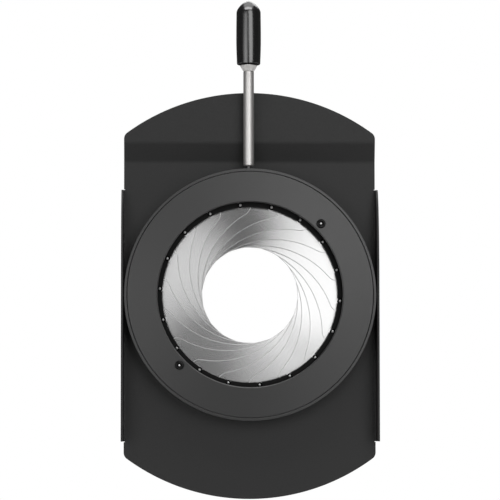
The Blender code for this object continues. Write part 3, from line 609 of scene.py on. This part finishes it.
class IRIS_OT_plate(bpy.types.Operator):
    """Build the mounting plate with its folded sides, opening and stepped upper margin"""
    bl_idname = "iris.plate"
    bl_label = "Mounting plate"

    def execute(self, context):
        props = context.scene.iris_plate
        bm = plate_sheet(props)
        for side in (1, -1):
            bm = carve(bm, folded_side(props, side), "UNION")
        hole = bar(props.opening, -props.thickness * 2, props.thickness, context.scene.iris_rings.steps)
        bm = carve(bm, hole)
        # A cut along each fold keeps the fold's shading off the big flat face
        flat = outer_radius("mounting_plate") - props.thickness - 2 * props.relief_depth
        for side in (flat, -flat):
            cut_line(bm, (side, 0, 0), (1, 0, 0))
        step_forward(bm, props)
        coat = powder_coating(props)
        add_piece("plate", bm, [coat], "frame", ["mounting_plate"],
                  props.eased_edge, 2)
        return {"FINISHED"}


def ring_metal():
    """The one finish that the housing, its cover and the pivot ring share."""
    rings, name = bpy.context.scene.iris_rings, "black_anodised_aluminium"
    return bpy.data.materials.get(name) or anodised_metal(name, rings.metal, 0.4, rings.lean)


def handle_window(rings, handle):
    """Room in the housing's wall for the handle's stud, from one limit of the handle to the other."""
    radius = outer_radius("housing_ring")
    guide = radius - rings.rim - rings.lip
    height = handle_height()
    reach = handle.stud_radius + HOLE_GAP
    side = abs(centre_of("handle_rod")[0])
    half = math.asin((handle.stud_radius + rings.running_gap + side) / guide)
    opening, closing = (math.radians(limit) for limit in JOINTS["handle_turn"]["range_deg"])
    inside, outside = guide - rings.ledge / 2, radius + rings.lip
    bm = bmesh.new()
    corners = chain(bm, [(inside, 0, height - reach), (outside, 0, height - reach),
                         (outside, 0, height + reach), (inside, 0, height + reach)])[0]
    face = bm.faces.new(corners)
    turn(bm, math.pi / 2 - closing - half)
    bmesh.ops.spin(bm, geom=[face, *face.edges, *face.verts], cent=(0, 0, 0), axis=(0, 0, 1),
                   angle=closing - opening + 2 * half, steps=64, use_duplicate=False)
    return bm


class IRIS_OT_housing(bpy.types.Operator):
    """Build the round housing with its rim, its ledges and the window for the handle"""
    bl_idname = "iris.housing"
    bl_label = "Housing"

    def execute(self, context):
        rings = context.scene.iris_rings
        radius = outer_radius("housing_ring")
        rear, front = rear_height("housing_ring"), front_height("housing_ring")
        seat = radius - rings.rim
        guide = seat - rings.lip
        bore = guide - rings.ledge
        ledge = rear_height("cam_ring") - rings.seat_gap
        lip = rear_height("front_cover") - rings.seat_gap
        bm = lathe([(bore, rear), (radius, rear), (radius, front), (seat, front), (seat, lip),
                    (guide, lip), (guide, ledge), (bore, ledge)], rings.steps)
        bm = carve(bm, handle_window(rings, context.scene.iris_handle))
        add_piece("housing", bm, [ring_metal()], "frame", ["housing_ring"],
                  rings.rim_edge)
        return {"FINISHED"}


class IRIS_OT_cover(bpy.types.Operator):
    """Build the flat front cover with the holes for its two rivets"""
    bl_idname = "iris.cover"
    bl_label = "Front cover"

    def execute(self, context):
        rings = context.scene.iris_rings
        low, high = rear_height("front_cover"), front_height("front_cover")
        outside = outer_radius("front_cover")
        inside = cam_bore() + rings.cover_step
        bm = lathe([(inside, low), (outside, low), (outside, high), (inside + rings.cover_bevel, high)],
                   rings.steps)
        for node in ("cover_rivet_1", "cover_rivet_2"):
            hole = bar(RIVET_HOLE, low - TOOL_REACH, high + TOOL_REACH, 32, centre_of(node))
            bm = carve(bm, hole)
        add_piece("cover", bm, [ring_metal()], "frame", ["front_cover"],
                  rings.cover_edge)
        return {"FINISHED"}


def pin_circle():
    """Radius of the circle of pivot pins, and of a leaf's arc."""
    pivot = JOINTS[f"{LEAVES[0]}_pivot"]["pos_m"]
    return math.hypot(pivot[0], pivot[2])


def cam_bore():
    """Radius of the slotted ring's bore: a little inside the fully open leaves."""
    return pin_circle() - bpy.context.scene.iris_leaves.half_width - CAM_OVERHANG


class IRIS_OT_slotted_ring(bpy.types.Operator):
    """Build the ring whose slots drive the leaves"""
    bl_idname = "iris.slotted_ring"
    bl_label = "Slotted ring"

    def execute(self, context):
        rings = context.scene.iris_rings
        bore, cover = cam_bore(), cam_bore() + rings.cover_step
        spacing = FULL_TURN / len(LEAVES)
        end, tip = rings.slot_end, rings.slot_width - context.scene.iris_leaves.pin_radius
        mouth, wide = rings.slot_mouth, rings.slot_width
        slot_side = [(end, 0), (end, tip), (rings.slot_reach, wide), (cover, mouth),
                     (math.sqrt(bore ** 2 - mouth ** 2), mouth)]
        arc_steps = 12
        bm = bmesh.new()
        near = chain(bm, [(x, y, 0) for x, y in slot_side])[0]
        lean = math.asin(mouth / bore)
        arc_to(bm, near[-1], (0, 0), spacing - 2 * lean, arc_steps)
        other = chain(bm, [(x, -y, 0) for x, y in slot_side])[0]
        turn(bm, spacing, verts=other)
        outside = bm.verts.new((outer_radius("cam_ring"), 0, 0))
        bm.edges.new((near[0], outside))
        far = arc_to(bm, outside, (0, 0), spacing, arc_steps)
        bm.edges.new((far, other[0]))
        bmesh.ops.remove_doubles(bm, verts=bm.verts[:], dist=MERGE)
        bmesh.ops.contextual_create(bm, geom=bm.edges[:])
        sector = bm.verts[:] + bm.edges[:] + bm.faces[:]
        for index in range(1, len(LEAVES)):
            copied = bmesh.ops.duplicate(bm, geom=sector)["geom"]
            moved = [item for item in copied if isinstance(item, bmesh.types.BMVert)]
            turn(bm, spacing * index, verts=moved)
        bmesh.ops.remove_doubles(bm, verts=bm.verts[:], dist=WIDE_MERGE)
        turn(bm, rings.slot_phase)
        move(bm, (0, 0, rear_height("cam_ring")))
        thicken(bm, (0, 0, front_height("cam_ring") - rear_height("cam_ring")))
        # Darker and duller than the cover in front of it: dark anodising, darkened further as painted
        # shade for its recess behind the cover, so that its edge shows as a black band
        metal = anodised_metal("dark_anodised_with_painted_shade", rings.bore, 0.5)
        add_piece("slotted_ring", bm, [metal], "cam", ["cam_ring"],
                  rings.slot_edge, 2)
        return {"FINISHED"}


def leaf_lift(leaves, along):
    """Rise of a leaf along its arc, which lets each leaf lie on the next all the way round."""
    radius, half = pin_circle(), leaves.half_width
    spacing = FULL_TURN / len(LEAVES)
    crowding = (4 * math.sin(spacing / 2) * math.sin(leaves.largest_swing / 2)
                * radius / (radius - half))
    crown = math.pi / 2 - leaves.largest_swing / 2
    root = math.sqrt(spacing ** 2 - crowding ** 2)
    ratio = math.sqrt((spacing + crowding) / (spacing - crowding))

    def height(clockwise):
        return 2 * leaves.pitch / root * math.atan(ratio * math.tan((clockwise - crown) / 2))

    return height(along) - height(-math.asin(half / radius))


def leaf_strip(leaves):
    """One leaf with its pins, its arc centred on the origin and its pivot pin on the x axis."""
    radius, half = pin_circle(), leaves.half_width
    bm = bmesh.new()
    verts, edges = chain(bm, [(radius + half * part / 2, 0, 0) for part in range(-2, 3)])
    bmesh.ops.spin(bm, geom=verts + edges, cent=(0, 0, 0), axis=(0, 0, 1), angle=-leaves.arc,
                   steps=leaves.steps, use_duplicate=False)
    for place, way in ((0.0, 1), (-leaves.arc, -1)):
        before = set(bm.verts)
        verts, edges = chain(bm, [(radius + half * part / 2, 0, 0) for part in range(3)])
        bmesh.ops.spin(bm, geom=verts + edges, cent=(radius, 0, 0), axis=(0, 0, 1),
                       angle=way * math.pi, steps=14, use_duplicate=False)
        turn(bm, place, verts=[vert for vert in bm.verts if vert not in before])
    bmesh.ops.remove_doubles(bm, verts=bm.verts[:], dist=MERGE)
    bmesh.ops.inset_region(bm, faces=bm.faces[:], thickness=leaves.edge, use_boundary=True,
                           use_even_offset=True)
    # These rim faces take the tumbled edge finish, a little darker as painted shade between the leaves
    rim = [edge for edge in bm.edges if edge.is_boundary]
    finish_faces({face for edge in rim for face in edge.link_faces}, 1)
    thicken(bm, (0, 0, leaves.thickness))
    bmesh.ops.recalc_face_normals(bm, faces=bm.faces[:])
    strip = bm.loops.layers.uv.new("strip")
    for face in bm.faces:
        for loop in face.loops:
            x, y = loop.vert.co.x, loop.vert.co.y
            loop[strip].uv = (-math.atan2(y, x) % FULL_TURN * radius, math.hypot(x, y) - radius)
    for vert in bm.verts:
        clockwise = -math.atan2(vert.co.y, vert.co.x)
        if clockwise < -math.pi / 2:
            clockwise += FULL_TURN
        vert.co.z += leaves.rear + leaf_lift(leaves, clockwise)
    return bm


def add_pins(bm, leaves):
    """The pivot pin behind one end of a leaf, and the cam pin with its collar in front of the other."""
    radius, pin = pin_circle(), leaves.pin_radius
    ends = ((0.0, rear_height("pivot_ring"), leaves.rear + leaf_lift(leaves, 0.0)),
            (leaves.arc, front_height("cam_ring"), leaves.rear + leaf_lift(leaves, leaves.arc)))
    for clockwise, tip, root in ends:
        way = 1 if tip > root else -1
        before = set(bm.faces)
        place = (radius * math.cos(clockwise), -radius * math.sin(clockwise))
        lathe([(0, root + way * leaves.thickness / 2), (pin, root + way * leaves.thickness / 2),
               *[(part * pin, tip - way * below) for part, below in PIN_END], (0, tip)], 20, place, bm)
        finish_faces(set(bm.faces) - before, 2)
    # The collar goes round the cam pin, the last of the two; its near-black finish is painted shade in
    # the slot above it
    before = set(bm.faces)
    bar(leaves.collar, root + leaves.thickness / 2, root + leaves.thickness + COLLAR_HEIGHT, 28, place,
        bm)
    finish_faces(set(bm.faces) - before, 3)


class IRIS_OT_leaves(bpy.types.Operator):
    """Build the leaves with their pins, each turned to its place at rest"""
    bl_idname = "iris.leaves"
    bl_label = "Leaves"

    def execute(self, context):
        leaves = context.scene.iris_leaves
        # A duller edge, tinted a little darker as painted shade between the leaves, sets each leaf off
        # from the next, and bright pins stand in near-black collars that are painted shade in the slots
        finishes = [leaf_steel(leaves), plain_metal("tumbled_leaf_edge_and_shade", leaves.rim, 0.35, 0.0008),
                    plain_metal("bright_pin_steel", linear("B4B4B4"), 0.3, 0.0004),
                    plain_metal("painted_shade_collar_steel", linear("0A0A0A"), 0.5, 0.0006)]
        for name in LEAVES:
            pivot = JOINTS[f"{name}_pivot"]["pos_m"]
            bm = leaf_strip(leaves)
            add_pins(bm, leaves)
            move(bm, (-pin_circle(), 0, 0))
            turn(bm, math.atan2(pivot[2], pivot[0]) - leaves.swing)
            move(bm, (pivot[0], pivot[2], 0))
            add_piece(f"iris_{name}", bm, finishes, name, [name])
        return {"FINISHED"}


def stand_on_handle(bm):
    """Turn a shape that was spun about z so that it stands on the handle's axis."""
    turn(bm, -math.pi / 2, "X")
    move(bm, (centre_of("handle_rod")[0], 0, handle_height()))


def grip_profile(handle, bore, hole_end):
    """Outline of the grip from the tip of its dome down to its foot, and of the hole for the rod."""
    low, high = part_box("handle_grip")[0].z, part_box("handle_grip")[1].z
    wide, shoulder = handle.grip_radius, high - handle.dome
    top, foot_width = wide - handle.grip_swell, wide - handle.grip_taper
    power = 2 / handle.dome_fullness
    dome_steps, side_steps, foot_steps = 24, 8, 6
    profile = [(0, high)]
    for step in range(1, dome_steps + 1):
        across = math.pi / 2 * step / dome_steps
        profile.append((top * math.sin(across) ** power,
                        shoulder + handle.dome * math.cos(across) ** power))
    middle, foot = (shoulder + low) / 2, low + handle.grip_foot
    for step in range(1, side_steps + 1):
        ease = math.sin(math.pi / 2 * step / side_steps)
        profile.append((top + handle.grip_swell * ease,
                        shoulder + (middle - shoulder) * step / side_steps))
    for step in range(1, side_steps + 1):
        ease = 1 - math.cos(math.pi / 2 * step / side_steps)
        profile.append((wide - handle.grip_taper * ease, middle + (foot - middle) * step / side_steps))
    for step in range(1, foot_steps + 1):
        across = math.pi / 2 * step / foot_steps
        profile.append((foot_width - handle.foot_edge * (1 - math.cos(across)),
                        foot - handle.grip_foot * math.sin(across)))
    return profile + [(bore, low), (bore, hole_end), (0, hole_end)]


class IRIS_OT_handle(bpy.types.Operator):
    """Build the plated rod with its stud, the cone below the grip and the grip"""
    bl_idname = "iris.handle"
    bl_label = "Handle"

    def execute(self, context):
        handle = context.scene.iris_handle
        radius, chamfer, stud = handle.rod_radius, handle.rod_chamfer, handle.stud_radius
        foot = outer_radius("housing_ring") + handle.standoff
        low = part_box("handle_rod")[0].z
        cone, cone_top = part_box("grip_ferrule")[0].z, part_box("grip_ferrule")[1].z
        cone -= handle.cone_reach
        end = cone - END_GAP
        tang, tang_end = handle.tang_radius, end + handle.tang
        rod = lathe([(0, low), (stud, low), (stud, foot), (radius - chamfer, foot),
                     (radius, foot + chamfer), (radius, end), (tang, end), (tang, tang_end),
                     (0, tang_end)], handle.steps)
        finish_faces([face for face in rod.faces if face.calc_center_median().z < foot - WIDE_MERGE], 1)
        stand_on_handle(rod)
        # Plating gives rod and cone a soft pale sheen, and the bare stud below is greyer
        nickel = plain_metal("satin_nickel_plate", handle.steel, 0.5, 0.0006)
        thread = plain_metal("plain_stud_steel", linear("707070"), 0.5, 0.0004)
        add_piece("rod", rod, [nickel, thread], "cam", ["handle_rod"],
                  handle.eased_edge, 2)

        bore, wide = tang + HOLE_GAP, radius + handle.flare
        ferrule = lathe([(bore, cone_top), (wide, cone_top), (wide, cone_top - CONE_BAND),
                         (radius, cone), (bore, cone)], handle.steps)
        stand_on_handle(ferrule)
        add_piece("ferrule", ferrule, [nickel], "cam", ["grip_ferrule"],
                  handle.eased_edge, 2)

        grip = lathe(grip_profile(handle, bore, tang_end + END_GAP), handle.steps)
        # The trimmed end reaches halfway up the rounded foot
        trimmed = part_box("handle_grip")[0].z + 0.5 * handle.grip_foot
        finish_faces([face for face in grip.faces if face.calc_center_median().z < trimmed], 1)
        stand_on_handle(grip)
        add_piece("grip", grip, [dipped_vinyl(handle), cut_vinyl(handle)], "cam",
                  ["handle_grip"])
        return {"FINISHED"}


class IRIS_OT_fasteners(bpy.types.Operator):
    """Build the hollow rivets of the cover and the screws and rivets behind the plate"""
    bl_idname = "iris.fasteners"
    bl_label = "Fasteners"

    def execute(self, context):
        # A blackened head shows as a dark ring on the cover, and the snapped pin in it as a bright dot
        black = plain_metal("blackened_steel", linear("2A2A2A"), 0.3, 0.0006)
        bright = plain_metal("snapped_mandrel_steel", linear("F0F0F0"), 0.25, 0.0003)
        front = front_height("front_cover")
        head = front_height("cover_rivet_1")
        tail = rear_height("cover_rivet_1")
        body, bulge, flange, hollow, pin = 0.0015, 0.0020, 0.00205, 0.0012, 0.00052
        seat, floor = front + 0.0002, front - 0.0011
        for index in (1, 2):
            place = centre_of(f"cover_rivet_{index}")
            # Bulged tail, body, flange with a rounded rim, then down the hollow to its floor
            bm = lathe([(0, tail), (body, tail + 0.0002), (bulge, tail + 0.0006), (body, tail + 0.0009),
                        (body, seat), (flange, seat), (flange, front + 0.00035),
                        (0.00198, front + 0.00055), (0.00175, head - 0.00008), (0.0014, head),
                        (0.00128, head - 0.00008), (hollow, head - 0.0003), (hollow, floor),
                        (0, floor)], 48, place)
            add_piece(f"rivet_{index}", bm, [black], "frame", [f"cover_rivet_{index}"])
            # The pulling pin's broken end, its tip a blunt cone
            root = front - 0.001
            bm = lathe([(0, root), (pin, root), (pin, head - 0.0005), (0.0004, head - 0.00036),
                        (0.0002, head - 0.0003), (0, head - 0.00028)], 24, place)
            add_piece(f"mandrel_{index}", bm, [bright], "frame", [f"rivet_pin_{index}"])
        for node in sorted(frame["nodes"]):
            if node.startswith(("housing_screw", "pivot_ring_rivet")):
                low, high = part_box(node)
                place, wide = centre_of(node), (high.x - low.x) / 2
                rear, tip = rear_height(node), front_height(node)
                bm = lathe([(0, rear), (wide * 0.55, rear + 0.00004), (wide * 0.85, rear + 0.0002),
                            (wide, HEAD_SEAT - 0.00012), (wide, HEAD_SEAT), (SCREW_SHANK, HEAD_SEAT),
                            (SCREW_SHANK, tip), (0, tip)], 40, place)
                if node.startswith("housing_screw"):
                    # A bar with six sides cuts the socket
                    bm = carve(bm, bar(wide * 0.45, rear - TOOL_REACH, rear + 0.00042, 6, place))
                add_piece(f"{node}_head", bm, [black], "frame", [node])
        for node in ("handle_boss", "boss_rivet_1", "boss_rivet_2"):
            dress(node, black)
        spring = plain_metal("rolled_spring_steel", linear("8C8C88"), 0.35, 0.0008)
        for node in ("drag_spring_1", "drag_spring_2"):
            dress(node, spring)
        dress("pivot_ring", ring_metal())
        return {"FINISHED"}


def add_panel(name, place, size, level, roll):
    """A large soft lamp that faces the part, unseen by the camera itself."""
    data = bpy.data.lights.new(name, "AREA")
    data.shape = "RECTANGLE"
    data.size, data.size_y = size
    data.energy = level * math.pi * size[0] * size[1]
    lamp = bpy.data.objects.new(name, data)
    lamp.location = place
    facing = (-Vector(place)).to_track_quat("-Z", "Y").to_matrix() @ Matrix.Rotation(roll, 3, "Z")
    lamp.rotation_euler = facing.to_euler()
    lamp.visible_camera = False
    bpy.context.scene.collection.objects.link(lamp)


def studio_room(level):
    """Dim room all round, that the camera sees as a white backdrop."""
    world = bpy.data.worlds.new("studio_room")
    bpy.context.scene.world = world
    world.use_nodes = True
    tree = world.node_tree
    tree.nodes.clear()
    rays = add_node(tree, "ShaderNodeLightPath").outputs
    clear = add_node(tree, "ShaderNodeMath", {"operation": "MAXIMUM"}, {
        0: rays["Is Camera Ray"], 1: rays["Is Transmission Ray"]}).outputs["Value"]
    seen = add_node(tree, "ShaderNodeMix", {"data_type": "FLOAT"}, {"Factor": clear}, A=level,
                    B=1.0).outputs["Result"]
    light = add_node(tree, "ShaderNodeBackground", links={"Strength": seen}, Color=(1, 1, 1, 1))
    add_node(tree, "ShaderNodeOutputWorld", links={"Surface": light.outputs["Background"]})


def floor_finish():
    """Pale matt paper: white to the camera, grey where metal mirrors it, and with the part's shadow."""
    made, tree, shader = new_material("pale_matt_paper", linear("E0E0E0"), 0.9, Specular_IOR_Level=0.0)
    rays = add_node(tree, "ShaderNodeLightPath").outputs
    mirrored = add_node(tree, "ShaderNodeMath", {"operation": "MULTIPLY"}, {0: rays["Is Glossy Ray"]})
    mirrored.inputs[1].default_value = FLOOR_MIRRORED
    seen = add_node(tree, "ShaderNodeMath", {"operation": "MAXIMUM"}, {
        0: rays["Is Camera Ray"], 1: mirrored.outputs["Value"]}).outputs["Value"]
    glow = add_node(tree, "ShaderNodeMath", {"operation": "MULTIPLY"}, {0: seen}).outputs["Value"]
    glow.node.inputs[1].default_value = FLOOR_GLOW
    shader.inputs["Emission Color"].default_value = (1, 1, 1, 1)
    tree.links.new(glow, shader.inputs["Emission Strength"])
    return made


class IRIS_OT_stage(bpy.types.Operator):
    """Build the floor, the lamps, the room and the camera"""
    bl_idname = "iris.stage"
    bl_label = "Stage"

    def execute(self, context):
        stage = context.scene.iris_stage
        bm = bmesh.new()
        bmesh.ops.create_grid(bm, x_segments=1, y_segments=1, size=FLOOR_HALF)
        mesh = bpy.data.meshes.new("floor")
        bm.to_mesh(mesh)
        bm.free()
        mesh.materials.append(floor_finish())
        floor = bpy.data.objects.new("floor", mesh)
        floor.location = (0, FLOOR_BACK, -stage.floor_drop)
        context.scene.collection.objects.link(floor)

        studio_room(stage.room)
        for name, place, size, level, roll in (
                ("right_panel", (0.38, -1.2, 0.35), (0.70, 0.86), stage.right_level, 27),
                ("low_right_panel", (0.56, -1.2, -0.42), (0.86, 0.46), stage.low_level, -19),
                ("left_panel", (-0.57, -1.2, -0.01), (0.60, 0.84), stage.left_level, 0),
                ("far_left_panel", (-1.05, -1.1, 0.0), (0.5, 0.8), 0.5 * stage.left_level, 0),
                ("top_panel", (-0.05, -0.65, 1.37), (1.4, 0.6), stage.top_level, 0),
                ("overhead_panel", (0, 0.1, 1.6), (1.6, 1.0), 0.3 * stage.top_level, 0),
                ("rear_panel", (0.2, 1.1, 1.2), (1.4, 0.9), stage.rear_level, 0)):
            add_panel(name, place, size, level, math.radians(roll))

        data = bpy.data.cameras.new("photo_camera")
        data.sensor_fit = "HORIZONTAL"
        data.angle = 2 * math.atan(stage.width / 2 / stage.distance)
        camera = bpy.data.objects.new("photo_camera", data)
        aim = Vector((stage.aim_side, 0, stage.aim_up))
        across = math.cos(stage.pitch)
        way = Vector((math.sin(stage.yaw) * across, -math.cos(stage.yaw) * across,
                      math.sin(stage.pitch)))
        camera.location = aim + way * stage.distance
        turned = (-way).to_track_quat("-Z", "Y").to_matrix() @ Matrix.Rotation(stage.roll, 3, "Z")
        camera.rotation_euler = turned.to_euler()
        context.scene.collection.objects.link(camera)
        context.scene.camera = camera
        context.scene.view_settings.view_transform = "Standard"
        return {"FINISHED"}


OPERATORS = (IRIS_OT_plate, IRIS_OT_housing, IRIS_OT_cover, IRIS_OT_slotted_ring, IRIS_OT_leaves,
             IRIS_OT_handle, IRIS_OT_fasteners, IRIS_OT_stage)


class IRIS_PT_panel(bpy.types.Panel):
    """Sizes and colours of the iris, and a button for each group of pieces"""
    bl_idname = "IRIS_PT_panel"
    bl_label = "Iris diaphragm"
    bl_space_type = "VIEW_3D"
    bl_region_type = "UI"
    bl_category = "Iris"

    def draw(self, context):
        for operator in OPERATORS:
            self.layout.operator(operator.bl_idname)
        for group in GROUPS:
            box = self.layout.box()
            props = getattr(context.scene, group)
            for name in GROUPS[group].__annotations__:
                box.prop(props, name)


GROUPS = {"iris_plate": IrisPlate, "iris_rings": IrisRings, "iris_leaves": IrisLeaves,
          "iris_handle": IrisHandle, "iris_stage": IrisStage}


def register():
    for made in (*GROUPS.values(), *OPERATORS, IRIS_PT_panel):
        bpy.utils.register_class(made)
    for name, group in GROUPS.items():
        setattr(bpy.types.Scene, name, bpy.props.PointerProperty(type=group))


def unregister():
    for name in GROUPS:
        delattr(bpy.types.Scene, name)
    for made in (IRIS_PT_panel, *reversed(OPERATORS), *GROUPS.values()):
        bpy.utils.unregister_class(made)


def main():
    register()
    for operator in OPERATORS:
        family, name = operator.bl_idname.split(".")
        getattr(getattr(bpy.ops, family), name)()


if __name__ == "__main__":
    main()
